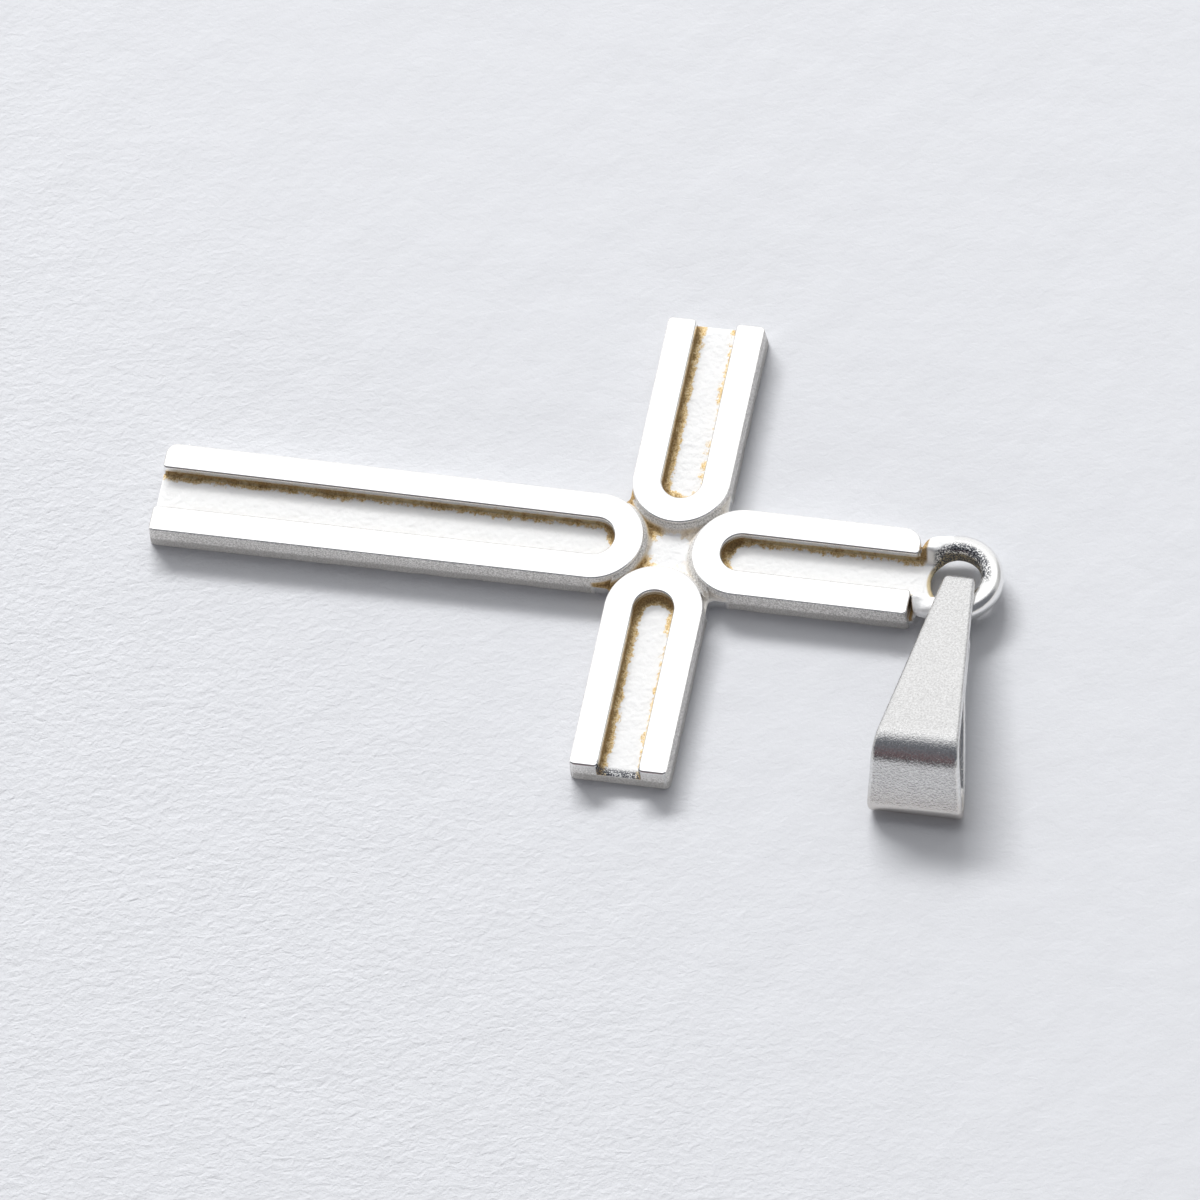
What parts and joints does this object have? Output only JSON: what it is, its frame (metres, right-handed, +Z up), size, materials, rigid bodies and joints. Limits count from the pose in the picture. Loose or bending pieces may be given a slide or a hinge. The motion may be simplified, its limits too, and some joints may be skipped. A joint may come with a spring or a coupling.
{
  "type": "cross pendant",
  "caption": "Cast silver cross pendant lying on its back: flat plate with raised U-shaped rails on each arm, a cast ring at the top and a loose tapered bail for a chain.",
  "frame": {"origin": "on the flat back face of the cross, at the middle of the crossing", "axes": "+Z up out of the cross's front, +Y along the long beam from the crossing to the ring, +X along the side arm that the bail lies beside"},
  "size_m": [0.0214, 0.0355, 0.0033],
  "materials": {
    "cast_silver": "silver, mirror-polished rail tops, grainy cast channel floors with golden brown tarnish along their walls, matt outer walls",
    "bail_silver": "satin silver strip with fine specks and rounded edges"
  },
  "bodies": {
    "cross_body": {"cross": "cast_silver"},
    "bail_body": {"bail": "bail_silver"}
  },
  "joints": [
    {"name": "bail_turn", "type": "hinge", "parent": "cross_body", "child": "bail_body", "pos_m": [0, 0.0119, 0.00091], "axis": [0, 0, 1], "range_deg": [-27, 187]}
  ]
}
